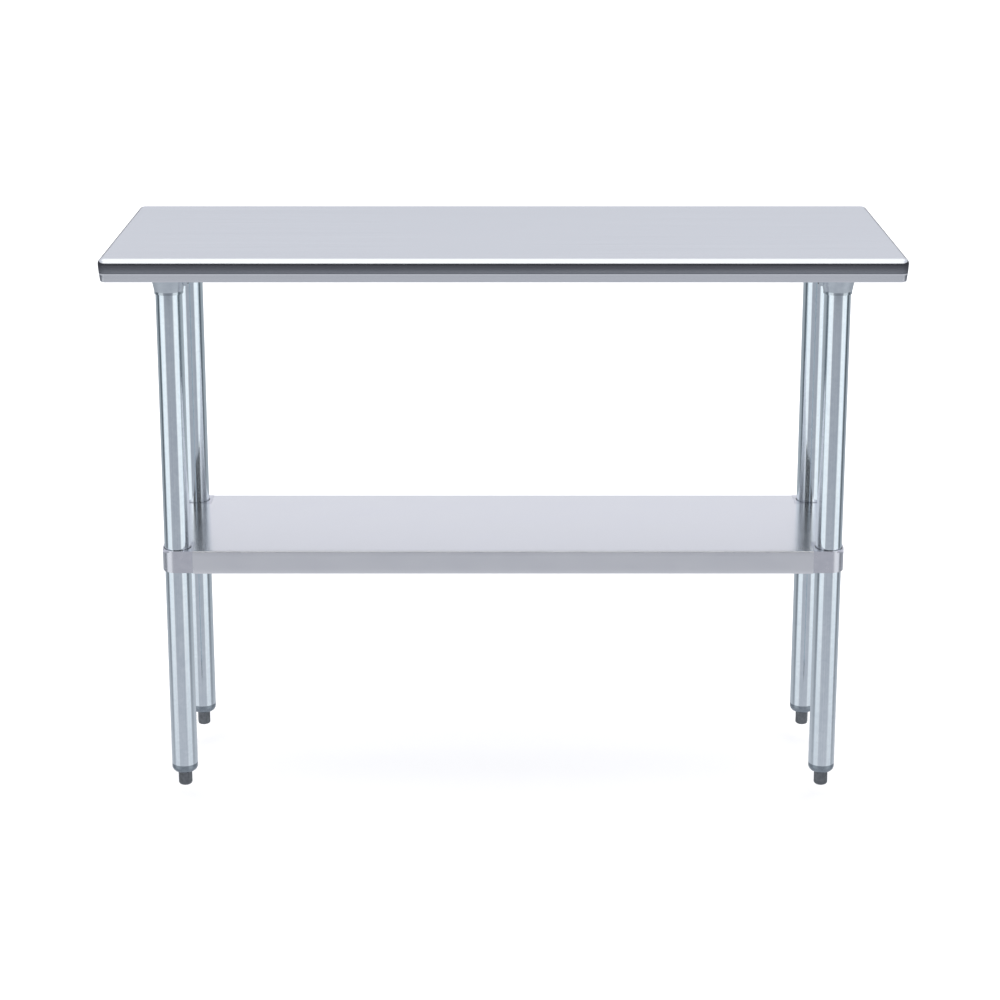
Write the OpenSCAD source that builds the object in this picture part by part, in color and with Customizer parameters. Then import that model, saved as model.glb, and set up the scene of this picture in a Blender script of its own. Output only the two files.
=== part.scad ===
// Work table: a folded stainless steel top on four tubular legs, with an undershelf
// that slides on the legs and a bullet foot that screws in and out of each leg.
// Millimetres, +Z up, front towards -Y. The origin is on the floor, under the middle
// of the table, with the feet screwed fully in.

/* [Table] */
// Width of the top, left to right
table_w = 1219.2; // [900:0.1:1600]
// Depth of the top, front to back
table_d = 457.2; // [380:0.1:760]
// Height of the work surface above the floor
table_h = 889; // [740:0.1:1070]

/* [Top sheet] */
// Thickness of the top's steel
sheet_t = 1.2; // [0.9:0.1:1.5]
// Radius of the rolled edge
roll_r = 9; // [8:0.5:12]
// How much larger a corner's radius is in plan than the roll
corner_land = 3; // [3:0.5:10]
// Height of the rim, from the work surface to the hem's underside
rim_h = 36.5; // [32:0.5:44]
// Depth of the crease below the work surface
crease_drop = 22; // [18:0.5:25]
// How far the skin leans in between the roll and the crease
roll_lean = 0.9; // [0.3:0.1:1.4]
// How far the lip under the crease is set back
lip_step = 0.4; // [0.2:0.1:1]
// Outside radius of the bend at the bottom of the lip
hem_r = 2.5; // [1.8:0.1:4]
// Width of the hem, from the outside of the lip
hem_w = 7; // [5:0.5:8]

/* [Channels under the top] */
// Depth of the hat channels
channel_h = 25.4; // [20:0.1:30]
// Thickness of the channels' steel
channel_t = 1.5; // [1:0.1:2]
// How far the cross channels' faces reach past the plates of the sockets
cross_face_margin = 2; // [1:0.5:10]
// Width of the face of the long channel
long_face_w = 50; // [40:1:80]
// Width of a channel's brims
brim_w = 15; // [13:1:20]
// Space between the channels' ends and what they stop at
channel_end_gap = 1.5; // [1:0.5:5]

/* [Weld studs and nuts] */
// Diameter of a weld stud
stud_d = 5; // [4:0.5:6]
// Length of a weld stud
stud_len = 11; // [9:0.5:14]
// Width of a nut across its flats
nut_af = 8; // [7:0.5:10]
// Height of a nut over its flange
nut_h = 4.4; // [3:0.1:5]
// Largest space between the studs of one row
stud_pitch = 280; // [150:5:320]

/* [Legs] */
// Outside diameter of the leg tube
leg_od = 41.3; // [34:0.1:50]
// Wall of the leg tube
leg_wall = 1.5; // [1.2:0.1:2]
// Distance of a leg's axis from the end of the top
leg_inset_x = 93.1; // [80:0.1:160]
// Distance of a leg's axis from the front or the back of the top
leg_inset_y = 100.1; // [90:0.1:140]
// Height of the tube's lower end above the floor
leg_bottom_z = 38; // [36:0.5:46]

/* [Leg sockets] */
// Length of a socket, from the channel's face to its lower end
socket_len = 46.4; // [38:0.1:60]
// Wall of a socket at its lower end
socket_wall = 1.55; // [1.3:0.05:3]
// How much further the cone reaches out at its top
socket_flare = 8; // [4:0.5:10]
// How far the plate that is welded to the channel reaches past the cone
socket_plate_margin = 5.7; // [3:0.1:10]
// Thickness of that plate
socket_plate_t = 3; // [2:0.5:5]
// Running fit between a leg and its socket, on the radius
socket_fit = 0.1; // [0.05:0.01:0.1]

/* [Set screws] */
// Diameter of the set screws
screw_d = 8; // [6:0.5:8]
// Length of the set screws
screw_len = 10; // [9:0.5:12]
// Diameter of the bosses that hold them
boss_d = 14; // [12:0.5:16]
// How far a boss stands off its socket or collar
boss_len = 8; // [7:0.5:9]
// Clearance of a screw in its thread, on the radius
screw_fit = 0.04; // [0.02:0.01:0.08]
// Clearance between a screw's tip and the leg that it clamps
tip_fit = 0.06; // [0.05:0.01:0.1]

/* [Undershelf] */
// Height of the shelf's surface above the floor
shelf_z = 404; // [150:1:720]
// Thickness of the shelf's steel
shelf_t = 1; // [0.8:0.1:1.2]
// Height of the shelf's turned-down sides
shelf_h = 37.5; // [30:0.5:46]
// Outside radius of the shelf's bends
shelf_bend_r = 2; // [1.6:0.1:3]
// Width of the lip turned in at the bottom of the sides
shelf_return = 10; // [6:0.5:14]
// Depth of the hat channel under the shelf
shelf_channel_h = 20; // [14:1:26]
// Width of the face of the channel under the shelf
shelf_face_w = 60; // [40:1:80]

/* [Corner collars] */
// Wall of a collar
collar_wall = 1.8; // [1.5:0.1:3]
// Clearance between a collar and its leg, on the radius
collar_clear = 1.2; // [0.6:0.1:1.6]
// How far a collar stops short of the bottom of the shelf's sides
collar_short = 1.5; // [0:0.5:5]
// How far a collar's straight sides run past its sleeve, towards the panel
collar_past = 2.4; // [1:0.1:8]
// Seam between a collar and the shelf's panel
collar_seam = 0.4; // [0.2:0.1:1]
// Thickness of a collar's top web and of the ledge under the panel
ledge_t = 2; // [1.5:0.1:3]
// How far the ledge runs under the panel
ledge_reach = 12; // [8:1:20]

/* [Bullet feet] */
// Straight band of the shell below the tube
shell_band_h = 5; // [3:0.5:8]
// Radius of the rounded end of the shell
shell_round_r = 9.6; // [8:0.1:10.5]
// Length of the shell's plug inside the tube
plug_len = 34; // [30:1:60]
// Diameter of the threaded stud
foot_stud_d = 12.7; // [10.5:0.1:15.5]
// Pitch of its thread
thread_pitch = 1.954; // [1.5:0.001:2]
// Depth of its thread
thread_depth = 0.7; // [0.4:0.1:0.9]
// Running fit of the stud in the shell and in the toe, on the radius
stud_fit = 0.08; // [0.05:0.01:0.1]
// Width of the hex toe across its flats
toe_af = 19.05; // [18:0.05:21]
// Radius of the flat that the toe stands on
toe_flat_r = 6.5; // [5:0.5:7.5]
// Height of the toe's rounded nose
toe_nose_h = 6; // [4:0.5:7]
// Space between the toe and the shell when it is screwed in
toe_gap = 0.5; // [0.4:0.1:2]

/* [Hidden] */
$fn = 96;
// Overrun of a cutting solid past the face that it cuts
over = 1;
left = -1;
right = 1;
front = -1;
rear = 1;

leg_r = leg_od / 2;
leg_x = table_w / 2 - leg_inset_x;
leg_y = table_d / 2 - leg_inset_y;

// Rim of the top. Its outline is drawn from the centre of a corner's radius.
corner_r = roll_r + corner_land;
crease_x = corner_r - roll_lean;
lip_x = crease_x - lip_step;
// Height over which the skin steps back to the lip, under the crease
lip_step_h = 1.5;

// Radii of a socket: its bore, the outside of its lower end, its cone and its plate
socket_bore_r = leg_r + socket_fit;
socket_foot_r = socket_bore_r + socket_wall;
socket_head_r = socket_foot_r + socket_flare;
socket_plate_r = socket_head_r + socket_plate_margin;

// Channels under the top
top_under_z = table_h - sheet_t;
channel_face_z = top_under_z - channel_h;
brim_z = top_under_z - channel_t;
cross_face_w = 2 * (socket_plate_r + cross_face_margin);
cross_half_w = cross_face_w / 2 + brim_w;
long_half_len = leg_x - cross_half_w - channel_end_gap;
pan_inside_y = table_d / 2 - corner_r + lip_x - hem_w;
cross_half_len = pan_inside_y - channel_end_gap;

// Sockets
socket_bottom_z = channel_face_z - socket_len;
leg_top_z = channel_face_z - socket_plate_t;
// Straight part of a socket below its cone
socket_band_h = 4;
// Height of a socket's set screw over its lower end
socket_screw_h = 18;

// Undershelf
collar_bore_r = leg_r + collar_clear;
collar_r = collar_bore_r + collar_wall;
collar_reach = collar_r + collar_past;
collar_h = shelf_h - collar_short;
shelf_half_x = leg_x + collar_r;
shelf_half_y = leg_y + collar_r;
notch_edge = collar_reach + collar_seam;
shelf_under_z = shelf_z - shelf_t;
// Space between the ledge and the inside of the shelf's sides
ledge_margin = 1.5;

// Feet
shell_bottom_z = leg_bottom_z - shell_band_h - shell_round_r;
shell_top_z = leg_bottom_z + plug_len;
shell_foot_r = leg_r - shell_round_r;
// Play between the shell's plug and the tube
plug_play = 0.02;
plug_r = leg_r - leg_wall - plug_play;
// Wall of the shell's hollow plug, and radius of the threaded boss in it
plug_wall = 3;
plug_boss_r = foot_stud_d / 2 + 3;
toe_top_z = shell_bottom_z - toe_gap;
// Depth of the stud in the toe, and space under its end
stud_seat = 13;
stud_end_gap = 0.4;
stud_bottom_z = toe_top_z - stud_seat;
stud_top_z = shell_top_z - 2;
// Turn of the hex toes away from square
toe_turn = 12;

// ---- Shared shapes ----

// A box in section from x0 to x1 and z0 to z1, with its two corners at x1 rounded
module soft_section(x0, x1, z0, z1, r) {
    translate([x0, z0]) square([x1 - r - x0, z1 - z0]);
    translate([x0, z0 + r]) square([x1 - x0, z1 - z0 - 2 * r]);
    for (z = [z0 + r, z1 - r]) translate([x1 - r, z]) circle(r);
}

// Hat channel along X, centred, its brims' upper faces at z = 0 and its face below
module hat_channel(half_len, face_w, depth, brim, t) {
    translate([-half_len, 0, 0]) rotate([90, 0, 90]) linear_extrude(2 * half_len) {
        difference() {
            translate([-face_w / 2, -depth]) square([face_w, depth]);
            translate([-face_w / 2 + t, -depth + t]) square([face_w - 2 * t, depth]);
        }
        for (side = [-1, 1]) {
            translate([side * (face_w + brim - t) / 2 - (brim + t) / 2, -t]) square([brim + t, t]);
        }
    }
}

// Places a child that is drawn for the front left leg at any leg
module at_leg(side, end) {
    translate([side * leg_x, end * leg_y, 0])
        mirror([side == right ? 1 : 0, 0, 0])
            mirror([0, end == rear ? 1 : 0, 0])
                children();
}

// Socket set screw along +X with its cone tip at x = 0
module set_screw() {
    tip_len = 1.5;
    tip_r = 2;
    key_af = screw_d / 2;
    key_depth = screw_d / 2;
    r = screw_d / 2 - screw_fit;
    rotate([0, 90, 0]) difference() {
        union() {
            cylinder(h = tip_len, r1 = tip_r, r2 = r);
            translate([0, 0, tip_len]) cylinder(h = screw_len - tip_len, r = r);
        }
        translate([0, 0, screw_len - key_depth])
            cylinder(h = key_depth + over, d = key_af / cos(30), $fn = 6);
    }
}

// Evenly spaced places from -half to +half, no further apart than the largest space
function row(half) = let (n = ceil(2 * half / stud_pitch)) [for (i = [0:n]) -half + 2 * half * i / n];

// Where the studs stand: three in each brim of a cross channel, a row in each long brim
stud_edge = 30;
cross_stud_x = (cross_face_w + brim_w) / 2;
long_stud_y = (long_face_w + brim_w) / 2;
stud_places = concat(
    [for (side = [left, right]) for (brim = [-1, 1]) for (y = row(cross_half_len - stud_edge))
        [side * leg_x + brim * cross_stud_x, y]],
    [for (brim = [-1, 1]) for (x = row(long_half_len - stud_edge)) [x, brim * long_stud_y]]
);
// Clearance of a stud in its hole in the brim, on the radius
stud_hole_clear = 0.4;

module stud_holes() {
    for (p = stud_places) {
        translate([p[0], p[1], brim_z - over])
            cylinder(h = channel_t + over, r = stud_d / 2 + stud_hole_clear);
    }
}

// ---- Top ----

// Outside of the rim in section, or its inside when inset by the sheet's thickness
module rim_outline(inset) {
    x = corner_r - inset;
    lean_x = crease_x - inset;
    back_x = lip_x - inset;
    step_z = -crease_drop - lip_step_h;
    intersection() {
        translate([corner_land, -roll_r]) circle(roll_r - inset);
        translate([corner_land, -roll_r]) square(roll_r);
    }
    translate([0, -roll_r]) square([corner_land, roll_r - inset]);
    polygon([[0, -roll_r], [x, -roll_r], [lean_x, -crease_drop], [back_x, step_z], [0, step_z]]);
    soft_section(0, back_x, -rim_h + inset, -roll_r, hem_r - inset);
}

// The folded steel of the rim: roll, crease, lip and hem
module rim_section() {
    difference() {
        rim_outline(0);
        rim_outline(sheet_t);
        translate([-over, -rim_h - over]) square([lip_x - hem_w + over, sheet_t + 2 * over]);
    }
}

// One straight run of the rim along X, facing -Y
module rim_run(half_len, edge_y) {
    translate([-half_len, -edge_y + corner_r, table_h])
        rotate([90, 0, 90]) linear_extrude(2 * half_len) mirror([1, 0]) rim_section();
}

module top_sheet() {
    half_x = table_w / 2 - corner_r;
    half_y = table_d / 2 - corner_r;
    color([0.83, 0.84, 0.86]) {
        translate([-half_x, -half_y, table_h - sheet_t]) cube([2 * half_x, 2 * half_y, sheet_t]);
        for (turn = [0, 180]) rotate([0, 0, turn]) rim_run(half_x, table_d / 2);
        for (turn = [90, 270]) rotate([0, 0, turn]) rim_run(half_y, table_w / 2);
        for (corner = [0:3]) {
            sx = corner == 0 || corner == 3 ? 1 : -1;
            sy = corner < 2 ? 1 : -1;
            translate([sx * half_x, sy * half_y, table_h])
                rotate([0, 0, 90 * corner]) rotate_extrude(angle = 90) rim_section();
        }
    }
}

module cross_channel(side) {
    color([0.72, 0.74, 0.76]) difference() {
        translate([side * leg_x, 0, top_under_z]) rotate([0, 0, 90])
            hat_channel(cross_half_len, cross_face_w, channel_h, brim_w, channel_t);
        stud_holes();
    }
}

module long_channel() {
    color([0.72, 0.74, 0.76]) difference() {
        translate([0, 0, top_under_z])
            hat_channel(long_half_len, long_face_w, channel_h, brim_w, channel_t);
        stud_holes();
    }
}

module top_studs() {
    color([0.75, 0.76, 0.78]) for (p = stud_places) {
        translate([p[0], p[1], top_under_z - stud_len]) cylinder(h = stud_len, d = stud_d);
    }
}

// Flanged nuts that hold the channels' brims up against the top
module channel_nuts() {
    nut_flange_r = nut_af / 2 + 2;
    nut_flange_h = 1.2;
    color([0.78, 0.76, 0.68]) for (p = stud_places) {
        translate([p[0], p[1], brim_z]) difference() {
            union() {
                translate([0, 0, -nut_h]) cylinder(h = nut_h, d = nut_af / cos(30), $fn = 6);
                translate([0, 0, -nut_flange_h]) cylinder(h = nut_flange_h, r = nut_flange_r);
            }
            translate([0, 0, -nut_h - over]) cylinder(h = nut_h + 2 * over, r = stud_d / 2 + screw_fit);
        }
    }
}

// ---- Leg sockets ----

// Boss for a set screw, pointing along +X from the axis of a leg
module screw_boss(inner_r, outer_r) {
    translate([inner_r, 0, 0]) rotate([0, 90, 0]) cylinder(h = outer_r - inner_r, d = boss_d);
}

module screw_hole(outer_r) {
    rotate([0, 90, 0]) cylinder(h = outer_r + over, d = screw_d);
}

// Cone that holds the top of a leg, with its plate welded to the cross channel
module leg_socket() {
    cone_top = socket_len - socket_plate_t;
    boss_r = socket_foot_r + boss_len;
    color([0.68, 0.7, 0.72]) translate([0, 0, socket_bottom_z]) difference() {
        union() {
            rotate_extrude() polygon([
                [0, 0], [socket_foot_r, 0], [socket_foot_r, socket_band_h], [socket_head_r, cone_top],
                [socket_plate_r, cone_top], [socket_plate_r, socket_len], [0, socket_len]
            ]);
            translate([0, 0, socket_screw_h]) screw_boss(leg_r, boss_r);
        }
        translate([0, 0, -over]) cylinder(h = socket_len - socket_plate_t + over, r = socket_bore_r);
        translate([0, 0, socket_screw_h]) screw_hole(boss_r);
    }
}

module socket_screws() {
    color([0.2, 0.2, 0.22]) for (side = [left, right]) for (end = [front, rear]) {
        at_leg(side, end) translate([leg_r + tip_fit, 0, socket_bottom_z + socket_screw_h]) set_screw();
    }
}

// ---- Legs and feet ----

module leg() {
    color([0.7, 0.73, 0.76]) translate([0, 0, leg_bottom_z]) difference() {
        cylinder(h = leg_top_z - leg_bottom_z, r = leg_r);
        translate([0, 0, -over]) cylinder(h = leg_top_z - leg_bottom_z + 2 * over, r = leg_r - leg_wall);
    }
}

// Die-cast shell: a plug pressed into the tube, a band, and a rounded lower end
module foot_shell() {
    round_z = leg_bottom_z - shell_band_h;
    boss_well_z = leg_bottom_z + plug_wall;
    well_h = shell_top_z - boss_well_z;
    color([0.5, 0.52, 0.55]) difference() {
        rotate_extrude() {
            translate([0, shell_bottom_z]) square([shell_foot_r, shell_round_r]);
            intersection() {
                translate([shell_foot_r, round_z]) circle(shell_round_r);
                translate([shell_foot_r, shell_bottom_z]) square([shell_round_r, shell_round_r]);
            }
            translate([0, round_z]) square([leg_r, shell_band_h]);
            translate([0, leg_bottom_z]) square([plug_r, plug_len]);
        }
        translate([0, 0, boss_well_z]) difference() {
            cylinder(h = well_h + over, r = plug_r - plug_wall);
            translate([0, 0, -over]) cylinder(h = well_h + 3 * over, r = plug_boss_r);
        }
        translate([0, 0, shell_bottom_z - over])
            cylinder(h = shell_top_z - shell_bottom_z + 2 * over, r = foot_stud_d / 2 + stud_fit);
    }
}

// Threaded stud, its thread drawn as rings
module foot_stud() {
    r = foot_stud_d / 2;
    thread_z = toe_top_z + toe_gap / 2;
    turns = floor((stud_top_z - thread_z) / thread_pitch);
    ring_points = [for (i = [0:turns - 1]) for (p = [[r, 0.1], [r - thread_depth, 0.5], [r, 0.9]])
        [p[0], thread_z + (i + p[1]) * thread_pitch]];
    color([0.62, 0.63, 0.65]) rotate_extrude() polygon(concat(
        [[0, stud_bottom_z], [r, stud_bottom_z]],
        ring_points,
        [[r, stud_top_z - thread_depth], [r - thread_depth, stud_top_z], [0, stud_top_z]]
    ));
}

// Hex toe with a rounded nose, screwed up against the shell
module foot_toe() {
    hex_r = toe_af / 2 / cos(30);
    top_chamfer = 1;
    nose_r = hex_r - toe_flat_r;
    color([0.36, 0.37, 0.39]) difference() {
        intersection() {
            rotate([0, 0, toe_turn]) cylinder(h = toe_top_z, r = hex_r, $fn = 6);
            rotate_extrude() {
                translate([0, 0]) square([toe_flat_r, toe_top_z]);
                translate([0, nose_r]) square([hex_r, toe_top_z - nose_r - top_chamfer]);
                translate([toe_flat_r, nose_r]) circle(nose_r);
                polygon([
                    [0, toe_top_z - top_chamfer], [hex_r, toe_top_z - top_chamfer],
                    [hex_r - top_chamfer, toe_top_z], [0, toe_top_z]
                ]);
            }
        }
        translate([0, 0, stud_bottom_z - stud_end_gap])
            cylinder(h = stud_seat + stud_end_gap + over, r = foot_stud_d / 2 + stud_fit);
    }
}

// ---- Undershelf ----

// Turned-down side of the shelf in section, drawn outward from the edge of its flat
module shelf_side_section() {
    back_x = shelf_bend_r - shelf_return;
    difference() {
        soft_section(back_x, shelf_bend_r, -shelf_h, 0, shelf_bend_r);
        soft_section(back_x - over, shelf_bend_r - shelf_t, -shelf_h + shelf_t, -shelf_t,
            shelf_bend_r - shelf_t);
    }
}

module shelf_side(half_len, edge) {
    translate([-half_len, -edge + shelf_bend_r, shelf_z])
        rotate([90, 0, 90]) linear_extrude(2 * half_len) mirror([1, 0]) shelf_side_section();
}

module shelf_panel() {
    flat_x = shelf_half_x - shelf_bend_r;
    flat_y = shelf_half_y - shelf_bend_r;
    notch_x = leg_x - notch_edge;
    notch_y = leg_y - notch_edge;
    color([0.8, 0.81, 0.85]) {
        translate([0, 0, shelf_under_z]) linear_extrude(shelf_t) {
            translate([-flat_x, -notch_y]) square([2 * flat_x, 2 * notch_y]);
            translate([-notch_x, -flat_y]) square([2 * notch_x, 2 * flat_y]);
        }
        for (turn = [0, 180]) rotate([0, 0, turn]) shelf_side(notch_x, shelf_half_y);
        for (turn = [90, 270]) rotate([0, 0, turn]) shelf_side(notch_y, shelf_half_x);
    }
}

module shelf_channel() {
    shelf_channel_half_len = leg_x - notch_edge;
    color([0.7, 0.72, 0.75]) translate([0, 0, shelf_under_z])
        hat_channel(shelf_channel_half_len, shelf_face_w, shelf_channel_h, brim_w, shelf_t);
}

// Plan of a corner of the shelf round the front left leg, set in from its outer sides
module collar_plan(inset) {
    r = collar_r - inset;
    circle(r);
    translate([-r, 0]) square([r + collar_reach, collar_reach]);
    translate([0, -r]) square([collar_reach, r + collar_reach]);
}

// Corner casting: outer wall, sleeve round the leg, top web, ledge and screw boss
module shelf_collar() {
    pocket_end = collar_reach + over;
    ledge_start = -collar_r + shelf_t + ledge_margin;
    ledge_end = collar_reach + ledge_reach;
    ledge_w = ledge_end - ledge_start;
    screw_z = -collar_h / 2;
    boss_r = collar_r + boss_len;
    color([0.72, 0.73, 0.77]) translate([0, 0, shelf_z]) difference() {
        union() {
            translate([0, 0, -collar_h]) linear_extrude(collar_h) collar_plan(0);
            translate([ledge_start, ledge_start, -shelf_t - ledge_t]) cube([ledge_w, ledge_w, ledge_t]);
        }
        translate([0, 0, -collar_h - over]) linear_extrude(collar_h - ledge_t + over) difference() {
            union() {
                translate([-collar_r + collar_wall, 0])
                    square([pocket_end + collar_r - collar_wall, pocket_end]);
                translate([0, -collar_r + collar_wall])
                    square([pocket_end, pocket_end + collar_r - collar_wall]);
            }
            circle(collar_r);
            rotate(45) translate([0, -boss_d / 2]) square([boss_r, boss_d]);
        }
        translate([0, 0, -collar_h - over]) cylinder(h = collar_h + 2 * over, r = collar_bore_r);
        rotate([0, 0, 45]) translate([0, 0, screw_z]) screw_hole(boss_r);
    }
}

module collar_screws() {
    color([0.2, 0.2, 0.22]) for (side = [left, right]) for (end = [front, rear]) {
        at_leg(side, end) rotate([0, 0, 45])
            translate([leg_r + tip_fit, 0, shelf_z - collar_h / 2]) set_screw();
    }
}

top_sheet();
long_channel();
cross_channel(left);  // cross_channel_left
cross_channel(right);  // cross_channel_right
top_studs();
channel_nuts();
at_leg(left, front) leg_socket();  // leg_socket_front_left
at_leg(right, front) leg_socket();  // leg_socket_front_right
at_leg(left, rear) leg_socket();  // leg_socket_rear_left
at_leg(right, rear) leg_socket();  // leg_socket_rear_right
socket_screws();
at_leg(left, front) leg();  // leg_front_left
at_leg(right, front) leg();  // leg_front_right
at_leg(left, rear) leg();  // leg_rear_left
at_leg(right, rear) leg();  // leg_rear_right
at_leg(left, front) foot_shell();  // foot_shell_front_left
at_leg(right, front) foot_shell();  // foot_shell_front_right
at_leg(left, rear) foot_shell();  // foot_shell_rear_left
at_leg(right, rear) foot_shell();  // foot_shell_rear_right
at_leg(left, front) foot_stud();  // foot_stud_front_left
at_leg(right, front) foot_stud();  // foot_stud_front_right
at_leg(left, rear) foot_stud();  // foot_stud_rear_left
at_leg(right, rear) foot_stud();  // foot_stud_rear_right
at_leg(left, front) foot_toe();  // foot_toe_front_left
at_leg(right, front) foot_toe();  // foot_toe_front_right
at_leg(left, rear) foot_toe();  // foot_toe_rear_left
at_leg(right, rear) foot_toe();  // foot_toe_rear_right
shelf_panel();
shelf_channel();
at_leg(left, front) shelf_collar();  // shelf_collar_front_left
at_leg(right, front) shelf_collar();  // shelf_collar_front_right
at_leg(left, rear) shelf_collar();  // shelf_collar_rear_left
at_leg(right, rear) shelf_collar();  // shelf_collar_rear_right
collar_screws();
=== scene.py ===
import math

import bmesh
import bpy
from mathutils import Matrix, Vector, noise


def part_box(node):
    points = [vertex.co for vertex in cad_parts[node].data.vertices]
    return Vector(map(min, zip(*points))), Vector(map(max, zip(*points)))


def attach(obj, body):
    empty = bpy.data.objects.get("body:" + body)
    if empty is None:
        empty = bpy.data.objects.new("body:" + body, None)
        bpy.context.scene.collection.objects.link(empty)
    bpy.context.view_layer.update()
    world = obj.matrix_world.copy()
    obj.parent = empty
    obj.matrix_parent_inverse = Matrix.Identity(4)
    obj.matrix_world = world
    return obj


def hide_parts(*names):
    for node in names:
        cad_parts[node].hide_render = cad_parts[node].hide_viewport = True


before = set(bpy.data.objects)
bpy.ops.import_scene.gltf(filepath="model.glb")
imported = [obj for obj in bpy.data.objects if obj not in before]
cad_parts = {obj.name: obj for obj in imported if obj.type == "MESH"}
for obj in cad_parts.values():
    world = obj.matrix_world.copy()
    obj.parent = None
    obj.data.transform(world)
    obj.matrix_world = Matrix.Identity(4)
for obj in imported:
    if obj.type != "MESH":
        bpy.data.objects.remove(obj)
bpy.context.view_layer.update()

scene = bpy.context.scene

# ---------------------------------------------------------------------------
# Camera
# It stands in front of the table and a little above it, on a long lens, and
# looks down at the gap between the top and the shelf.
# ---------------------------------------------------------------------------
CAMERA_PLACE = (-0.005, -3.8, 1.6105)
CAMERA_PITCH_DEG = 14.5
CAMERA_LENS_MM = 87.5
CAMERA_SHIFT_Y = -0.11

camera = bpy.data.objects.new("camera", bpy.data.cameras.new("camera"))
scene.collection.objects.link(camera)
camera.location = CAMERA_PLACE
camera.rotation_euler = (math.radians(90 - CAMERA_PITCH_DEG), 0, 0)
camera.data.sensor_width = 36
camera.data.lens = CAMERA_LENS_MM
camera.data.shift_y = CAMERA_SHIFT_Y
scene.camera = camera
scene.view_settings.view_transform = "Standard"


# ---------------------------------------------------------------------------
# Studio
# A seamless pale floor under soft overhead light. The metal sees a surround of
# tall light and dark panels, and dark screens at the level of the table's edge.
# ---------------------------------------------------------------------------
def linear(hex_colour):
    """The linear RGBA of an sRGB hex value such as "D0D2D8"."""
    parts = [int(hex_colour[i:i + 2], 16) / 255 for i in (0, 2, 4)]
    return [c / 12.92 if c <= 0.04045 else ((c + 0.055) / 1.055) ** 2.4 for c in parts] + [1.0]


def add(tree, kind, inputs=None, stops=None, **settings):
    """Adds a node with its settings. An input is a value or another node's output."""
    made = tree.nodes.new(kind)
    for key, value in settings.items():
        setattr(made, key, value)
    for key, value in (inputs or {}).items():
        if isinstance(value, bpy.types.NodeSocket):
            tree.links.new(value, made.inputs[key])
        else:
            made.inputs[key].default_value = value
    if stops:
        elements = made.color_ramp.elements
        while len(elements) < len(stops):
            elements.new(1.0)
        for element, (place, colour) in zip(elements, stops):
            element.position = place
            element.color = linear(colour) if isinstance(colour, str) else (colour, colour, colour, 1)
    return made


SURROUND_STRENGTH = 1.1

world = bpy.data.worlds.new("studio")
scene.world = world
world.use_nodes = True
sky = world.node_tree
sky.nodes.clear()
way = add(sky, "ShaderNodeSeparateXYZ", {0: add(sky, "ShaderNodeTexCoord").outputs["Generated"]})
rise = add(sky, "ShaderNodeMath", {0: way.outputs["Z"]}, operation="ARCSINE")
towards_front = add(sky, "ShaderNodeMath", {0: way.outputs["Y"], 1: -1.0}, operation="MULTIPLY")
turn = add(sky, "ShaderNodeMath", {0: way.outputs["X"], 1: towards_front.outputs[0]},
           operation="ARCTAN2")
# Height runs from 0 straight down to 1 straight up, and direction from 0 to 1 with the front at 0.5
height = add(sky, "ShaderNodeMath", {0: rise.outputs[0], 1: 1 / math.pi, 2: 0.5},
             operation="MULTIPLY_ADD").outputs[0]
direction = add(sky, "ShaderNodeMath", {0: turn.outputs[0], 1: 0.5 / math.pi, 2: 0.5},
                operation="MULTIPLY_ADD").outputs[0]


def at_height(degrees):
    return degrees / 180 + 0.5


def at_turn(degrees):
    return degrees / 360 + 0.5


# Tall panels at the level of the legs, the same on the left and on the right
panel_edges = [(35, "A3A6AE"), (43, "FAFDFF"), (79, "F4FAFF"), (89, "5C646A"), (103, "545C62"),
               (120, "9EA4AA"), (150, "A6ACB2"), (180, "AEB4BA")]
panels = add(sky, "ShaderNodeValToRGB", {0: direction}, stops=(
    [(at_turn(-turned), tone) for turned, tone in reversed(panel_edges)]
    + [(at_turn(turned), tone) for turned, tone in panel_edges]))
# Towards the floor the panels fade into one even tone
low_fade = add(sky, "ShaderNodeValToRGB", {0: height}, stops=[
    (at_height(-65), 1.0), (at_height(-26), 0.95), (at_height(-22), 0.6), (at_height(-18), 0.15),
    (at_height(-13), 0.0)])
low = add(sky, "ShaderNodeMix", {0: low_fade.outputs[0], 6: panels.outputs[0], 7: linear("C2C4CB")},
          data_type="RGBA")
# Pale backdrop above the horizon
lift = add(sky, "ShaderNodeValToRGB", {0: height}, stops=[
    (at_height(-6), 0.0), (at_height(3), 0.5), (at_height(9), 0.9), (at_height(14), 1.0)])
open_sky = add(sky, "ShaderNodeMix", {0: lift.outputs[0], 6: low.outputs[2], 7: linear("DADCE4")},
               data_type="RGBA")
# White softbox from high in front to overhead
box_wide = add(sky, "ShaderNodeValToRGB", {0: direction}, stops=[
    (at_turn(-58), 0.0), (at_turn(-40), 1.0), (at_turn(40), 1.0), (at_turn(58), 0.0)])
box_high = add(sky, "ShaderNodeValToRGB", {0: height}, stops=[
    (at_height(13), 0.0), (at_height(17), 1.0)])
front_box = add(sky, "ShaderNodeMath", {0: box_wide.outputs[0], 1: box_high.outputs[0]},
                operation="MULTIPLY")
overhead = add(sky, "ShaderNodeValToRGB", {0: height}, stops=[
    (at_height(40), 0.0), (at_height(58), 1.0)])
white = add(sky, "ShaderNodeMath", {0: front_box.outputs[0], 1: overhead.outputs[0]},
            operation="MAXIMUM")
surround = add(sky, "ShaderNodeMix", {0: white.outputs[0], 6: open_sky.outputs[2],
                                      7: (1.2, 1.21, 1.22, 1)}, data_type="RGBA")
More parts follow.
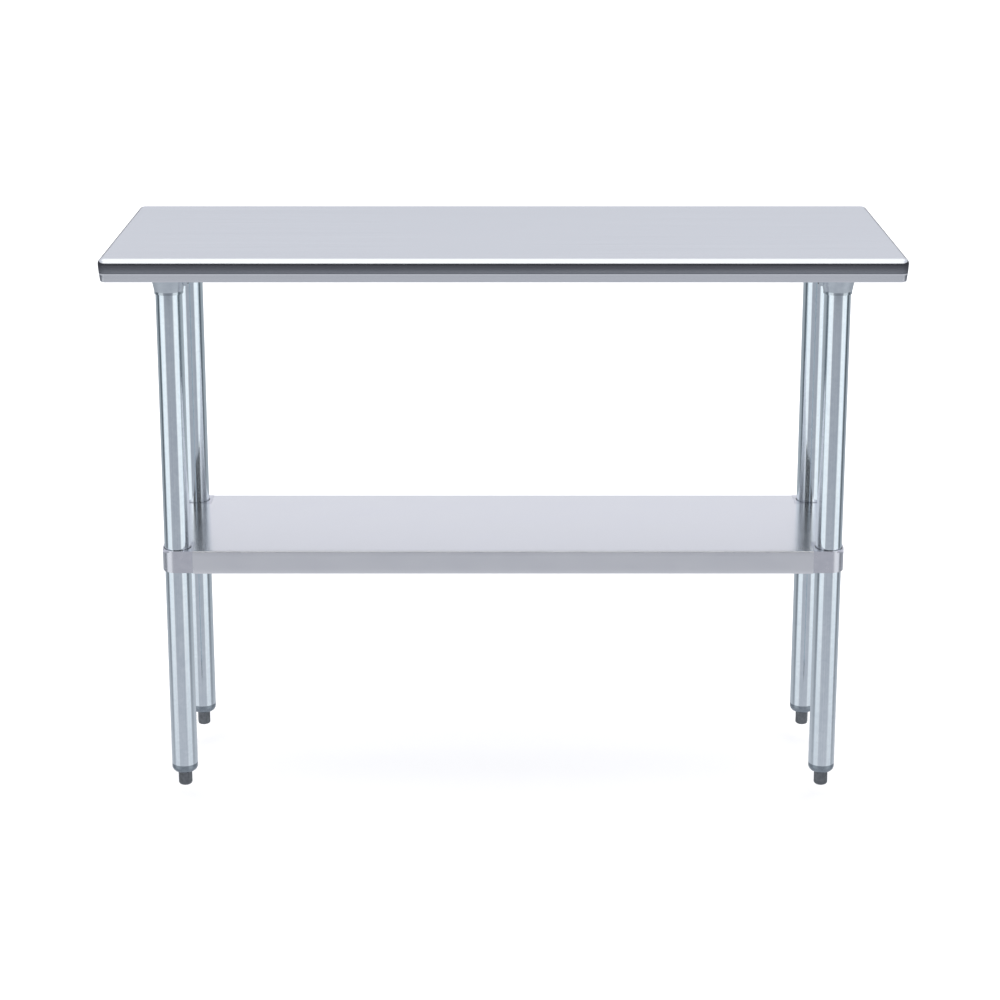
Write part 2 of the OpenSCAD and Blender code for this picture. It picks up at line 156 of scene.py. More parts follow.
# The floor is lit by an even glow, so that the table's shadow stays faint
seen = add(sky, "ShaderNodeLightPath")
even = add(sky, "ShaderNodeMix", {0: seen.outputs["Is Diffuse Ray"], 6: surround.outputs[2],
                                  7: (1.35, 1.35, 1.36, 1)}, data_type="RGBA")
backdrop = add(sky, "ShaderNodeMix",
               {0: seen.outputs["Is Camera Ray"], 6: even.outputs[2], 7: linear("FFFFFF")},
               data_type="RGBA")
light_out = add(sky, "ShaderNodeBackground",
                {"Color": backdrop.outputs[2], "Strength": SURROUND_STRENGTH})
add(sky, "ShaderNodeOutputWorld", {"Surface": light_out.outputs[0]})

# Floor: matt seamless paper. The metal sees the surround and not the floor. It lies 26.4 mm under
# the feet, just lower than they screw out, so that it never hides a foot.
FLOOR_RADIUS = 60
FLOOR_Z = -0.0264
FLOOR_SEGMENTS = 128
floor_mesh = bpy.data.meshes.new("floor")
floor_shape = bmesh.new()
bmesh.ops.create_circle(floor_shape, cap_ends=True, segments=FLOOR_SEGMENTS, radius=FLOOR_RADIUS)
floor_shape.to_mesh(floor_mesh)
floor_shape.free()
floor = bpy.data.objects.new("floor", floor_mesh)
scene.collection.objects.link(floor)
floor.location.z = FLOOR_Z
paper = bpy.data.materials.new("seamless_paper")
paper.use_nodes = True
paper_shader = paper.node_tree.nodes["Principled BSDF"]
paper_shader.inputs["Base Color"].default_value = linear("F6F6F7")
paper_shader.inputs["Roughness"].default_value = 0.9
paper_shader.inputs["Specular IOR Level"].default_value = 0.1
floor_mesh.materials.append(paper)
floor.visible_glossy = False

# Overhead softbox, for the soft shadow under the table
SOFTBOX_PLACE = (0, -0.4, 4.5)
SOFTBOX_SIZE = 5
SOFTBOX_WATTS = 30
softbox = bpy.data.objects.new("softbox", bpy.data.lights.new("softbox", "AREA"))
scene.collection.objects.link(softbox)
softbox.location = SOFTBOX_PLACE
softbox.data.shape = "DISK"
softbox.data.size = SOFTBOX_SIZE
softbox.data.energy = SOFTBOX_WATTS
softbox.visible_glossy = False

# Dark screens that only the metal sees. One stands round the table's edge, a quarter of a metre
# out, and is the dark band in the rolled rim. It is lower behind, where the top would mirror it.
# The other stands further out in front, and darkens the legs where they meet the shelf.
SCREEN_AWAY = 0.25
SCREEN_LOW, SCREEN_HIGH, SCREEN_HIGH_BEHIND = 0.75, 0.975, 0.905
SCREEN_LOWERS_FROM_Y, SCREEN_LOWERS_OVER = 0.28, 0.14
SCREEN_CORNER_R = 0.26
SCREEN_CORNER_STEPS = 12
FAR_SCREEN_Y, FAR_SCREEN_HALF_WIDTH = -1.73, 1.5
FAR_SCREEN_LOW, FAR_SCREEN_HIGH = 0.46, 1.40
top_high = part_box("top_sheet")[1]


def dark_screen(name, vertices, faces, stops):
    """A glowing screen with tones by height in metres, hidden from all but reflections."""
    mesh = bpy.data.meshes.new(name)
    mesh.from_pydata(vertices, [], faces)
    made = bpy.data.objects.new(name, mesh)
    scene.collection.objects.link(made)
    paint = bpy.data.materials.new(name)
    paint.use_nodes = True
    tree = paint.node_tree
    tree.nodes.clear()
    place = add(tree, "ShaderNodeSeparateXYZ", {0: add(tree, "ShaderNodeTexCoord").outputs["Object"]})
    tones = add(tree, "ShaderNodeValToRGB", {0: place.outputs["Z"]}, stops=stops)
    glow = add(tree, "ShaderNodeEmission", {"Color": tones.outputs[0]})
    add(tree, "ShaderNodeOutputMaterial", {"Surface": glow.outputs[0]})
    mesh.materials.append(paint)
    made.visible_camera = False
    made.visible_diffuse = False
    made.visible_shadow = False
    made.visible_transmission = False
    made.visible_volume_scatter = False


screen_x, screen_y = top_high[0] + SCREEN_AWAY, top_high[1] + SCREEN_AWAY
vertices, faces = [], []
for corner, (side_x, side_y) in enumerate([(1, 1), (-1, 1), (-1, -1), (1, -1)]):
    for step in range(SCREEN_CORNER_STEPS + 1):
        a = math.radians(90 * corner + 90 * step / SCREEN_CORNER_STEPS)
        x = side_x * (screen_x - SCREEN_CORNER_R) + SCREEN_CORNER_R * math.cos(a)
        y = side_y * (screen_y - SCREEN_CORNER_R) + SCREEN_CORNER_R * math.sin(a)
        lowered = min(1, max(0, (y - SCREEN_LOWERS_FROM_Y) / SCREEN_LOWERS_OVER))
        vertices += [(x, y, SCREEN_LOW),
                     (x, y, SCREEN_HIGH + lowered * (SCREEN_HIGH_BEHIND - SCREEN_HIGH))]
for post in range(len(vertices) // 2):
    here, there = 2 * post, 2 * post + 2
    if there == len(vertices):
        there = 0
    faces.append((here, here + 1, there + 1, there))
dark_screen("edge_screen", vertices, faces, [
    (SCREEN_LOW, "7E828A"), (0.765, "74777F"), (0.785, "62646B"), (0.805, "4E4F55"), (0.82, "434449")])
dark_screen("far_screen", [
    (-FAR_SCREEN_HALF_WIDTH, FAR_SCREEN_Y, FAR_SCREEN_LOW),
    (FAR_SCREEN_HALF_WIDTH, FAR_SCREEN_Y, FAR_SCREEN_LOW),
    (FAR_SCREEN_HALF_WIDTH, FAR_SCREEN_Y, FAR_SCREEN_HIGH),
    (-FAR_SCREEN_HALF_WIDTH, FAR_SCREEN_Y, FAR_SCREEN_HIGH)], [(0, 1, 2, 3)], [
    (FAR_SCREEN_LOW, "9A9EA4"), (0.60, "62666A"), (0.74, "34383B"), (1.0, "282C2F")])


# ---------------------------------------------------------------------------
# Top sheet
# One sheet of 1.2 mm stainless with a No. 4 brushed face. Its four edges are
# rolled over, creased under the roll and hemmed, and the corners are welded and
# ground. The grain follows the table's length, and wraps down over the rim.
# ---------------------------------------------------------------------------
TOP_SHEET = 0.0012
TOP_CORNER_R = 0.012
ROLL_R = 0.009
CREASE_DROP = 0.022
RIM_LEAN = 0.0009
RIM_BULGE = 0.00012
LIP_STEP = 0.0002
LIP_STEP_DROP = 0.0015
LIP_LEAN = 0.0014
RIM_H = 0.0365
HEM_R = 0.0025
HEM_W = 0.007
TOP_WAVE = 0.00010
WAVE_FADES_OVER = 0.05
ROLL_PROUD = 0.0002
ROLL_RISES_OVER = 0.0012
CREASE_SOFTENED = 0.00015
TOP_COLUMNS, TOP_ROWS = 60, 24
CORNER_STEPS = 12


def arc(centre_x, centre_z, radius, start_deg, end_deg, steps):
    """Points along an arc in section, the start left out."""
    points = []
    for step in range(1, steps + 1):
        a = math.radians(start_deg + (end_deg - start_deg) * step / steps)
        points.append((centre_x + radius * math.cos(a), centre_z + radius * math.sin(a)))
    return points


def straight(start, end, steps, bulge=0.0):
    """Points along a line in section, the start left out, bowed outward by bulge."""
    points = []
    for step in range(1, steps + 1):
        t = step / steps
        points.append((start[0] + (end[0] - start[0]) * t + bulge * math.sin(math.pi * t),
                       start[1] + (end[1] - start[1]) * t))
    return points


def run_lengths(points):
    """Distance along the points, from the first."""
    lengths = [0.0]
    for a, b in zip(points, points[1:]):
        lengths.append(lengths[-1] + math.dist(a, b))
    return lengths


def folded_piece(name, vertices, faces, grain, sheet_t):
    """A smooth piece of folded sheet: the skin thickened inward, its UV map the flat sheet in metres."""
    skin = bpy.data.meshes.new(name)
    skin.from_pydata(vertices, [], faces)
    layer = skin.uv_layers.new(name="grain")
    for corner in skin.loops:
        layer.data[corner.index].uv = grain[corner.vertex_index]
    made = bpy.data.objects.new(name, skin)
    scene.collection.objects.link(made)
    thick = made.modifiers.new("sheet", "SOLIDIFY")
    thick.thickness = sheet_t
    thick.offset = -1
    thick.use_even_offset = True
    solid = bpy.data.meshes.new_from_object(made.evaluated_get(bpy.context.evaluated_depsgraph_get()))
    made.modifiers.clear()
    made.data = solid
    solid.name = name
    solid.polygons.foreach_set("use_smooth", [True] * len(solid.polygons))
    solid.set_sharp_from_angle(angle=math.radians(38))
    return made


def spread(half, steps):
    """Evenly spaced places from -half to half."""
    return [-half + 2 * half * step / steps for step in range(steps + 1)]


rim_x = TOP_CORNER_R - RIM_LEAN - LIP_STEP
lip_end = (rim_x - LIP_LEAN, -RIM_H + HEM_R)
# The roll stands a little proud of the flat
rim = [(0.0, -ROLL_PROUD), (ROLL_RISES_OVER, -ROLL_PROUD), (TOP_CORNER_R - ROLL_R, 0.0)]
rim += arc(TOP_CORNER_R - ROLL_R, -ROLL_R, ROLL_R, 90, 0, 14)
crease = (TOP_CORNER_R - RIM_LEAN, -CREASE_DROP)
rim += straight((TOP_CORNER_R, -ROLL_R), crease, 9, RIM_BULGE)
rim += straight(crease, (rim_x + CREASE_SOFTENED, -CREASE_DROP - LIP_STEP_DROP * 0.75), 2)
rim += [(rim_x, -CREASE_DROP - LIP_STEP_DROP)]
rim += straight((rim_x, -CREASE_DROP - LIP_STEP_DROP), lip_end, 5)
rim += arc(lip_end[0] - HEM_R, lip_end[1], HEM_R, 0, -90, 7)
rim += straight((lip_end[0] - HEM_R, -RIM_H), (rim_x - HEM_W, -RIM_H), 3)
rim_run = run_lengths(rim)

top_half_x = top_high[0] - TOP_CORNER_R
top_half_y = top_high[1] - TOP_CORNER_R
top_z = top_high[2]
top_xs = spread(top_half_x, TOP_COLUMNS)
top_ys = spread(top_half_y, TOP_ROWS)


def top_wave(x, y):
    """Slack of the sheet between its channels, none at the rim."""
    edge = min(top_half_x - abs(x), top_half_y - abs(y))
    fade = min(1.0, max(0.0, edge / WAVE_FADES_OVER))
    return fade * TOP_WAVE * (noise.noise(Vector((x * 4.0, y * 6.0, 0.3))) - 1.0) - ROLL_PROUD


vertices, grain, faces = [], [], []
for y in top_ys:
    for x in top_xs:
        vertices.append((x, y, top_z + top_wave(x, y)))
        grain.append((x, y))
columns, rows = len(top_xs), len(top_ys)
for row in range(rows - 1):
    for column in range(columns - 1):
        first = row * columns + column
        faces.append((first, first + 1, first + 1 + columns, first + columns))

# Places round the rim, anticlockwise from the front left: grid vertex, centre of sweep, way out
stations = []
for column in range(columns):
    stations.append((column, -90))
stations += [(columns - 1, -90 + 90 * k / CORNER_STEPS) for k in range(1, CORNER_STEPS)]
for row in range(rows):
    stations.append((row * columns + columns - 1, 0))
stations += [(rows * columns - 1, 90 * k / CORNER_STEPS) for k in range(1, CORNER_STEPS)]
for column in reversed(range(columns)):
    stations.append(((rows - 1) * columns + column, 90))
stations += [((rows - 1) * columns, 90 + 90 * k / CORNER_STEPS) for k in range(1, CORNER_STEPS)]
for row in reversed(range(rows)):
    stations.append((row * columns, 180))
stations += [(0, 180 + 90 * k / CORNER_STEPS) for k in range(1, CORNER_STEPS)]

previous = [vertex for vertex, way_out in stations]
for (out, drop), run in list(zip(rim, rim_run))[1:]:
    ring = []
    for vertex, way_out in stations:
        x, y = vertices[vertex][:2]
        c, s = math.cos(math.radians(way_out)), math.sin(math.radians(way_out))
        ring.append(len(vertices))
        vertices.append((x + out * c, y + out * s, top_z + drop))
        grain.append((x + run * c, y + run * s))
    for k in range(len(stations)):
        after = (k + 1) % len(stations)
        corners = [previous[k], ring[k], ring[after], previous[after]]
        if corners[0] == corners[3]:
            corners.pop()
        faces.append(tuple(corners))
    previous = ring

top = folded_piece("top_sheet_folded", vertices, faces, grain, TOP_SHEET)


def metal(name):
    """A bare metal material: the material, its tree and its shader."""
    made = bpy.data.materials.new(name)
    made.use_nodes = True
    shader = made.node_tree.nodes["Principled BSDF"]
    shader.inputs["Metallic"].default_value = 1.0
    return made, made.node_tree, shader


def stretched(tree, place, size_mm, detail=3.0, rough=0.55):
    """Noise whose features measure size_mm along X, Y and Z of a place in metres."""
    scaled = add(tree, "ShaderNodeMapping", {"Vector": place, "Scale": [1000 / mm for mm in size_mm]})
    return add(tree, "ShaderNodeTexNoise", {"Vector": scaled.outputs[0], "Scale": 1.0, "Detail": detail,
                                            "Roughness": rough}).outputs[0]


# Brushed stainless: fine straight grain, broader bands of sheen and faint wiping marks, so the
# top is an even satin grey. Real grain is 0.2 mm wide; it is drawn at 0.7 mm so that it shows.
brushed, tree, shader = metal("brushed_stainless_no4")
flat = add(tree, "ShaderNodeUVMap", uv_map="grain").outputs[0]
place = add(tree, "ShaderNodeTexCoord").outputs["Object"]
fine = stretched(tree, flat, (110, 0.7, 1), 4.0, 0.65)
bands = stretched(tree, flat, (700, 9, 1), 3.0, 0.6)
wiped = stretched(tree, flat, (260, 120, 1), 4.0, 0.6)
tone = add(tree, "ShaderNodeValToRGB", {0: fine}, stops=[(0.25, "E1E3E6"), (0.75, "E5E7EA")])
banded = add(tree, "ShaderNodeValToRGB", {0: bands}, stops=[(0.3, "F9F9FA"), (0.7, "FFFFFF")])
coloured = add(tree, "ShaderNodeMix", {0: 1.0, 6: tone.outputs[0], 7: banded.outputs[0]},
               data_type="RGBA", blend_type="MULTIPLY")
tree.links.new(coloured.outputs[2], shader.inputs["Base Color"])
# The rolled rim is burnished by its rollers, so it mirrors more sharply than the flat
rim_place = add(tree, "ShaderNodeSeparateXYZ", {0: place})
on_flat = add(tree, "ShaderNodeMapRange", {0: rim_place.outputs["Z"], 1: top_z - 0.0016,
                                           2: top_z - 0.0004, 3: 0.0, 4: 1.0})
flat_rough = add(tree, "ShaderNodeMapRange", {0: wiped, 1: 0.3, 2: 0.7, 3: 0.235, 4: 0.262})
grain_rough = add(tree, "ShaderNodeMapRange", {0: bands, 1: 0.3, 2: 0.7, 3: 0.10, 4: 0.15})
dulled = add(tree, "ShaderNodeMix", {0: on_flat.outputs[0], 2: grain_rough.outputs[0],
                                     3: flat_rough.outputs[0]}, data_type="FLOAT")
tree.links.new(dulled.outputs[0], shader.inputs["Roughness"])
shader.inputs["Anisotropic"].default_value = 0.55
shader.inputs["Anisotropic Rotation"].default_value = 0.25
tangent = add(tree, "ShaderNodeTangent", direction_type="UV_MAP", uv_map="grain")
tree.links.new(tangent.outputs[0], shader.inputs["Tangent"])
ridges = add(tree, "ShaderNodeBump", {"Height": fine, "Strength": 0.02, "Distance": 0.00003})
tree.links.new(ridges.outputs[0], shader.inputs["Normal"])
top.data.materials.append(brushed)
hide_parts("top_sheet")
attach(top, "frame")


# ---------------------------------------------------------------------------
# Channels under the top
# Hat channels roll formed from galvanised strip. They keep the dull crystal
# pattern of hot-dip zinc and run under the sheet, fixed by their brims.
# ---------------------------------------------------------------------------
def dress(material, *nodes):
    """Gives the CAD nodes this material in their own slots."""
    for node in nodes:
        for place_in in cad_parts[node].material_slots:
            place_in.link = "OBJECT"
            place_in.material = material


CORNERS = ("front_left", "front_right", "rear_left", "rear_right")

galvanised, tree, shader = metal("galvanised_strip")
place = add(tree, "ShaderNodeTexCoord").outputs["Object"]
# Zinc crystals about 9 mm across, each with its own tone and gloss, so the strip glints in patches
crystals = add(tree, "ShaderNodeTexVoronoi", {"Vector": place, "Scale": 1000 / 9, "Randomness": 0.95})
crystal = add(tree, "ShaderNodeSeparateColor", {0: crystals.outputs["Color"]})
cloud = stretched(tree, place, (60, 60, 60), 4.0)
tone = add(tree, "ShaderNodeValToRGB", {0: crystal.outputs[0]},
           stops=[(0.0, "AEB3B7"), (0.5, "BFC4C8"), (1.0, "D2D6DA")])
clouded = add(tree, "ShaderNodeValToRGB", {0: cloud}, stops=[(0.3, "D9DBDC"), (0.7, "FFFFFF")])
coloured = add(tree, "ShaderNodeMix", {0: 1.0, 6: tone.outputs[0], 7: clouded.outputs[0]},
               data_type="RGBA", blend_type="MULTIPLY")
tree.links.new(coloured.outputs[2], shader.inputs["Base Color"])
crystal_rough = add(tree, "ShaderNodeMapRange", {0: crystal.outputs[1], 3: 0.30, 4: 0.48})
tree.links.new(crystal_rough.outputs[0], shader.inputs["Roughness"])
frost = stretched(tree, place, (1.2, 1.2, 1.2), 3.0)
bumped = add(tree, "ShaderNodeBump", {"Height": frost, "Strength": 0.12, "Distance": 0.0001})
tree.links.new(bumped.outputs[0], shader.inputs["Normal"])
dress(galvanised, "long_channel", "cross_channel_left", "cross_channel_right", "shelf_channel")


# ---------------------------------------------------------------------------
# Weld studs and flanged nuts
# Copper-flashed studs and zinc-plated nuts. Both are drawn in one zinc plate, pale with a faint
# yellow passivation that pools to warmer patches.
# ---------------------------------------------------------------------------
def mottled_metal(name, patch_mm, tones, gloss, patch_detail=3.0, marks=None):
    """A metal with soft patches of tone and roughness. Its marks are their size in mm along X, Y
    and Z, their detail, the strength of their relief and its height in metres."""
    made, tree, shader = metal(name)
    place = add(tree, "ShaderNodeTexCoord").outputs["Object"]
    patches = stretched(tree, place, patch_mm, patch_detail)
    tone = add(tree, "ShaderNodeValToRGB", {0: patches}, stops=tones)
    tree.links.new(tone.outputs[0], shader.inputs["Base Color"])
    rough = add(tree, "ShaderNodeMapRange", {0: patches, 1: 0.3, 2: 0.7, 3: gloss[0], 4: gloss[1]})
    tree.links.new(rough.outputs[0], shader.inputs["Roughness"])
    if marks:
        marks_mm, detail, strength, height = marks
        relief = add(tree, "ShaderNodeBump", {"Height": stretched(tree, place, marks_mm, detail),
                                              "Strength": strength, "Distance": height})
        tree.links.new(relief.outputs[0], shader.inputs["Normal"])
    return made


# Zinc plate: half-bright, drifting from silver to straw within 3 mm
zinc = mottled_metal("yellow_tinged_zinc", (3, 3, 3),
                     [(0.3, "C9C4AE"), (0.55, "D3D2CB"), (0.8, "BDB48E")], (0.24, 0.40))
dress(zinc, "top_studs", "channel_nuts")


# ---------------------------------------------------------------------------
# Leg sockets
# Pressed and turned steel cones, welded to the cross channels and zinc plated
# with them. Turning leaves fine rings, and the weld a rippled bead.
# ---------------------------------------------------------------------------
# Plated steel: bright and slightly blue, with 0.8 mm turning rings that soften its highlights
socketed = mottled_metal("plated_socket_steel", (14, 14, 10),
                         [(0.3, "C6CED4"), (0.6, "CFD7DC"), (0.8, "D8DFE4")], (0.11, 0.15),
                         patch_detail=4.0, marks=((40, 40, 0.8), 2.0, 0.05, 0.00005))
dress(socketed, *["leg_socket_" + corner for corner in CORNERS])

# Weld beads: a rippled fillet round the edge of each socket's plate
WELD_R = 0.0021
WELD_FLATTENED = 0.8
WELD_SUNK = 0.0004
WELD_RIPPLES = 54
RIPPLE_SHARE, WANDER_SHARE = 0.09, 0.10
WELD_STEPS = 324
WELD_SIDES = 10
# Weld steel: dull grey, with browner tints where the heat ran
weld_steel = mottled_metal("weld_bead_steel", (7, 7, 7),
                           [(0.3, "8D8A86"), (0.55, "A9A8A6"), (0.8, "B9B4A8")], (0.34, 0.52))
for corner in CORNERS:
    low_corner, high_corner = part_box("leg_" + corner)
    axis_x, axis_y = (low_corner[0] + high_corner[0]) / 2, (low_corner[1] + high_corner[1]) / 2
    plate_low, plate_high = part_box("leg_socket_" + corner)
    plate_r = (plate_high[1] - plate_low[1]) / 2
    vertices, faces = [], []
    for step in range(WELD_STEPS):
        a = 2 * math.pi * step / WELD_STEPS
        ripple = 1 + RIPPLE_SHARE * math.sin(a * WELD_RIPPLES) + WANDER_SHARE * noise.noise(
            Vector((math.cos(a) * 3, math.sin(a) * 3, axis_x * 5 + axis_y)))
        for side in range(WELD_SIDES):
            b = 2 * math.pi * side / WELD_SIDES
            out = plate_r + WELD_R * ripple * math.cos(b)
            vertices.append((axis_x + out * math.cos(a), axis_y + out * math.sin(a),
                             plate_high[2] - WELD_SUNK + WELD_R * ripple * math.sin(b) * WELD_FLATTENED))
    for step in range(WELD_STEPS):
        for side in range(WELD_SIDES):
            here, there = step * WELD_SIDES, (step + 1) % WELD_STEPS * WELD_SIDES
            beside = (side + 1) % WELD_SIDES
            faces.append((here + side, there + side, there + beside, here + beside))
    bead_mesh = bpy.data.meshes.new("weld_bead_" + corner)
    bead_mesh.from_pydata(vertices, [], faces)
    bead_mesh.polygons.foreach_set("use_smooth", [True] * len(faces))
    bead_mesh.materials.append(weld_steel)
    bead = bpy.data.objects.new("weld_bead_" + corner, bead_mesh)
    scene.collection.objects.link(bead)
    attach(bead, "frame")


# ---------------------------------------------------------------------------
# Set screws
# Black-oxide hex socket screws. Oil left on the oxide makes them half gloss.
# ---------------------------------------------------------------------------
# Oiled black oxide: near black, with a low uneven gloss
blacked = mottled_metal("black_oxide", (2, 2, 2), [(0.3, "26262A"), (0.7, "3A3A3E")], (0.28, 0.46))
dress(blacked, "socket_screws", "collar_screws")


# ---------------------------------------------------------------------------
# Legs
# Welded and drawn steel tube with a bright galvanised skin. Drawing leaves long
# faint lines down the tube, and the zinc a soft mottle.
# ---------------------------------------------------------------------------
# Bright zinc on drawn tube: sharp blue-white highlights, broken only by 0.9 mm draw lines, a
# cloudy mottle and 5 mm crystals
drawn, tree, shader = metal("bright_galvanised_tube")
place = add(tree, "ShaderNodeTexCoord").outputs["Object"]
lines = stretched(tree, place, (0.9, 0.9, 260), 4.0, 0.6)
mottle = stretched(tree, place, (16, 16, 26), 4.0, 0.6)
flecks = add(tree, "ShaderNodeTexVoronoi", {"Vector": place, "Scale": 1000 / 5})
fleck = add(tree, "ShaderNodeSeparateColor", {0: flecks.outputs["Color"]})
tone = add(tree, "ShaderNodeValToRGB", {0: lines}, stops=[(0.3, "E4EDF2"), (0.7, "F0F7FB")])
mottled = add(tree, "ShaderNodeValToRGB", {0: mottle}, stops=[(0.3, "F8F9FA"), (0.7, "FFFFFF")])
flecked = add(tree, "ShaderNodeValToRGB", {0: fleck.outputs[0]}, stops=[(0.0, "FAFAFB"), (1.0, "FFFFFF")])
first_mix = add(tree, "ShaderNodeMix", {0: 1.0, 6: tone.outputs[0], 7: mottled.outputs[0]},
                data_type="RGBA", blend_type="MULTIPLY")
second_mix = add(tree, "ShaderNodeMix", {0: 1.0, 6: first_mix.outputs[2], 7: flecked.outputs[0]},
                 data_type="RGBA", blend_type="MULTIPLY")
tree.links.new(second_mix.outputs[2], shader.inputs["Base Color"])
drawn_rough = add(tree, "ShaderNodeMapRange", {0: mottle, 1: 0.3, 2: 0.7, 3: 0.10, 4: 0.13})
tree.links.new(drawn_rough.outputs[0], shader.inputs["Roughness"])
drawn_bump = add(tree, "ShaderNodeBump", {"Height": lines, "Strength": 0.08, "Distance": 0.00006})
tree.links.new(drawn_bump.outputs[0], shader.inputs["Normal"])
dress(drawn, *["leg_" + corner for corner in CORNERS])


# ---------------------------------------------------------------------------
# Bullet feet
# Die-cast shells pressed into the tubes, threaded studs, and hex toes cast in a
# dark zinc alloy that is left as tumbled.
# ---------------------------------------------------------------------------
# Die-cast zinc: mid grey with a fine 0.9 mm grit that blurs what it mirrors
cast = mottled_metal("die_cast_shell", (9, 9, 9), [(0.3, "8C969E"), (0.7, "A4ADB4")], (0.24, 0.34),
                     patch_detail=4.0, marks=((0.9, 0.9, 0.9), 2.0, 0.12, 0.0001))
dress(cast, *["foot_shell_" + corner for corner in CORNERS])

# Plated thread: pale silver, duller where it has worn
threaded = mottled_metal("zinc_plated_thread", (4, 4, 4), [(0.3, "A9ABAC"), (0.7, "C6C8CA")],
                         (0.26, 0.40))
dress(threaded, *["foot_stud_" + corner for corner in CORNERS])

# Tumbled alloy: dark grey, pitted at 0.8 mm, with no clear reflection
toed = mottled_metal("tumbled_toe_alloy", (6, 6, 6), [(0.3, "6E7174"), (0.7, "888B8E")], (0.34, 0.46),
                     patch_detail=4.0, marks=((0.8, 0.8, 0.8), 2.0, 0.15, 0.0001))
dress(toed, *["foot_toe_" + corner for corner in CORNERS])


# ---------------------------------------------------------------------------
# Shelf panel
# One sheet of 1 mm satin steel, its corners notched round the legs and its four
# sides folded down and back in under. The grain follows its length.
# ---------------------------------------------------------------------------
SHELF_SHEET = 0.001
SHELF_BEND_R = 0.002
SHELF_RETURN = 0.010
SHELF_SAG = 0.0004
NOTCH_EDGE = 0.02645
SHELF_COLUMNS, SHELF_ROWS, SHELF_END_STEPS = 56, 18, 4

shelf_low, shelf_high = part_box("shelf_panel")
leg_low, leg_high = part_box("leg_front_right")
leg_x, leg_y = (leg_low[0] + leg_high[0]) / 2, -(leg_low[1] + leg_high[1]) / 2
shelf_z = shelf_high[2]
shelf_flat_x = shelf_high[0] - SHELF_BEND_R
shelf_flat_y = shelf_high[1] - SHELF_BEND_R
notch_x, notch_y = leg_x - NOTCH_EDGE, leg_y - NOTCH_EDGE
side_drop = shelf_high[2] - shelf_low[2]

side = [(0.0, 0.0)]
side += arc(0, -SHELF_BEND_R, SHELF_BEND_R, 90, 0, 7)
side += straight((SHELF_BEND_R, -SHELF_BEND_R), (SHELF_BEND_R, -side_drop + SHELF_BEND_R), 5)
side += arc(0, -side_drop + SHELF_BEND_R, SHELF_BEND_R, 0, -90, 7)
side += straight((0, -side_drop), (SHELF_BEND_R - SHELF_RETURN, -side_drop), 3)
side_run = run_lengths(side)


def ends_and_middle(notch, edge, steps):
    """Grid places over a side: the two ends past the notches, and the run between them."""
    reach = [notch + (edge - notch) * k / SHELF_END_STEPS for k in range(1, SHELF_END_STEPS + 1)]
    return [-place for place in reversed(reach)] + spread(notch, steps) + reach


def shelf_sag(x, y):
    """Droop of the sheet between its folded sides, with the slack of thin steel."""
    across = max(0.0, 1 - (x / shelf_flat_x) ** 2) * max(0.0, 1 - (y / shelf_flat_y) ** 2)
    return -across * SHELF_SAG * (1 + 0.5 * noise.noise(Vector((x * 5, y * 7, 1.7))))


shelf_xs = ends_and_middle(notch_x, shelf_flat_x, SHELF_COLUMNS)
shelf_ys = ends_and_middle(notch_y, shelf_flat_y, SHELF_ROWS)
vertices, grain, faces, at = [], [], [], {}
for row, y in enumerate(shelf_ys):
    for column, x in enumerate(shelf_xs):
        if abs(x) <= notch_x + 1e-6 or abs(y) <= notch_y + 1e-6:
            at[column, row] = len(vertices)
            vertices.append((x, y, shelf_z + shelf_sag(x, y)))
            grain.append((x, y))
for row in range(len(shelf_ys) - 1):
    for column in range(len(shelf_xs) - 1):
        corners = [(column, row), (column + 1, row), (column + 1, row + 1), (column, row + 1)]
        middle_x = (shelf_xs[column] + shelf_xs[column + 1]) / 2
        middle_y = (shelf_ys[row] + shelf_ys[row + 1]) / 2
        if abs(middle_x) < notch_x or abs(middle_y) < notch_y:
            faces.append(tuple(at[corner] for corner in corners))

last_column, last_row = len(shelf_xs) - 1, len(shelf_ys) - 1
long_run = [c for c, x in enumerate(shelf_xs) if abs(x) <= notch_x + 1e-6]
short_run = [r for r, y in enumerate(shelf_ys) if abs(y) <= notch_y + 1e-6]
folds = [([at[c, 0] for c in long_run], (0, -1)),
         ([at[last_column, r] for r in short_run], (1, 0)),
         ([at[c, last_row] for c in reversed(long_run)], (0, 1)),
         ([at[0, r] for r in reversed(short_run)], (-1, 0))]
for edge, (way_x, way_y) in folds:
    previous = edge
    for (out, drop), run in list(zip(side, side_run))[1:]:
        ring = []
        for vertex in edge:
            x, y = vertices[vertex][:2]
            ring.append(len(vertices))
            vertices.append((x + out * way_x, y + out * way_y, shelf_z + drop))
            grain.append((x + run * way_x, y + run * way_y))
        for k in range(len(edge) - 1):
            faces.append((previous[k], ring[k], ring[k + 1], previous[k + 1]))
        previous = ring

shelf = folded_piece("shelf_panel_folded", vertices, faces, grain, SHELF_SHEET)

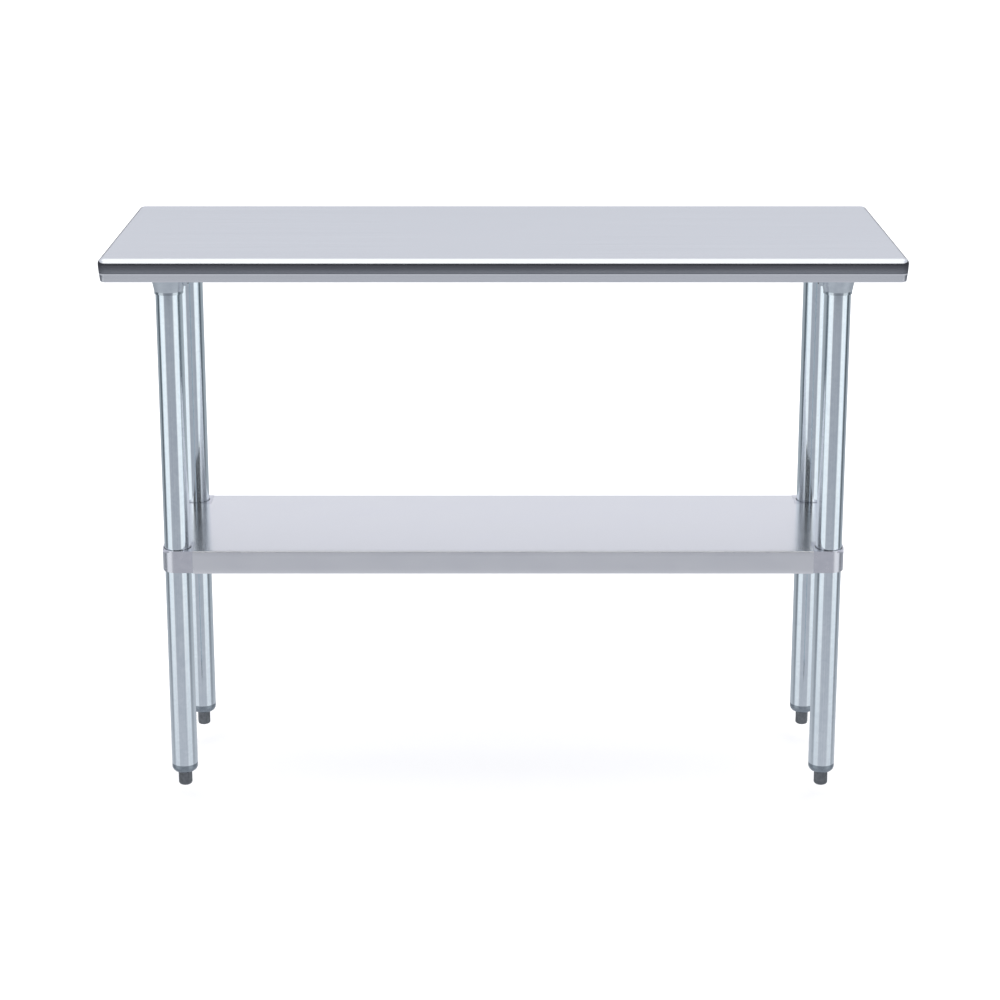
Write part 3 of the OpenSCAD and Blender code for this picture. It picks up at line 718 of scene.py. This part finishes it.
# Satin steel: soft grain along the length and a cloudy sheen, smoother than the top, so the legs
# show in it as long blurred streaks
satin, tree, shader = metal("satin_shelf_steel")
flat = add(tree, "ShaderNodeUVMap", uv_map="grain").outputs[0]
fine = stretched(tree, flat, (80, 0.8, 1), 4.0, 0.6)
cloud = stretched(tree, flat, (90, 60, 1), 4.0, 0.6)
scuff_field = stretched(tree, flat, (18, 2.2, 1), 1.0, 0.4)
scuffs = add(tree, "ShaderNodeMapRange", {0: scuff_field, 1: 0.76, 2: 0.84, 3: 0.0, 4: 1.0})
tone = add(tree, "ShaderNodeValToRGB", {0: fine}, stops=[(0.25, "F3F3F5"), (0.75, "F8F8F9")])
clouded = add(tree, "ShaderNodeValToRGB", {0: cloud}, stops=[(0.3, "FAFAFB"), (0.7, "FFFFFF")])
coloured = add(tree, "ShaderNodeMix", {0: 1.0, 6: tone.outputs[0], 7: clouded.outputs[0]},
               data_type="RGBA", blend_type="MULTIPLY")
scuffed = add(tree, "ShaderNodeMix", {0: scuffs.outputs[0], 6: coloured.outputs[2],
                                      7: linear("D3D5DC")}, data_type="RGBA")
tree.links.new(scuffed.outputs[2], shader.inputs["Base Color"])
satin_rough = add(tree, "ShaderNodeMapRange", {0: cloud, 1: 0.3, 2: 0.7, 3: 0.19, 4: 0.23})
tree.links.new(satin_rough.outputs[0], shader.inputs["Roughness"])
shader.inputs["Anisotropic"].default_value = 0.6
shader.inputs["Anisotropic Rotation"].default_value = 0.25
tangent = add(tree, "ShaderNodeTangent", direction_type="UV_MAP", uv_map="grain")
tree.links.new(tangent.outputs[0], shader.inputs["Tangent"])
satin_bump = add(tree, "ShaderNodeBump", {"Height": fine, "Strength": 0.08, "Distance": 0.00006})
tree.links.new(satin_bump.outputs[0], shader.inputs["Normal"])
shelf.data.materials.append(satin)
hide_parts("shelf_panel")
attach(shelf, "shelf")


# ---------------------------------------------------------------------------
# Corner collars
# Cast aluminium corners that slide on the legs. They are tumbled bright on their
# sides and carry the shelf panel on a ledge.
# ---------------------------------------------------------------------------
# Tumbled aluminium: pale, even and slightly warm, with a soft broad sheen
tumbled_cast = mottled_metal("tumbled_cast_aluminium", (12, 12, 12),
                             [(0.3, "DFDFE5"), (0.7, "E6E6EB")], (0.22, 0.28),
                             patch_detail=4.0, marks=((0.9, 0.9, 0.9), 3.0, 0.05, 0.00006))
dress(tumbled_cast, *["shelf_collar_" + corner for corner in CORNERS])
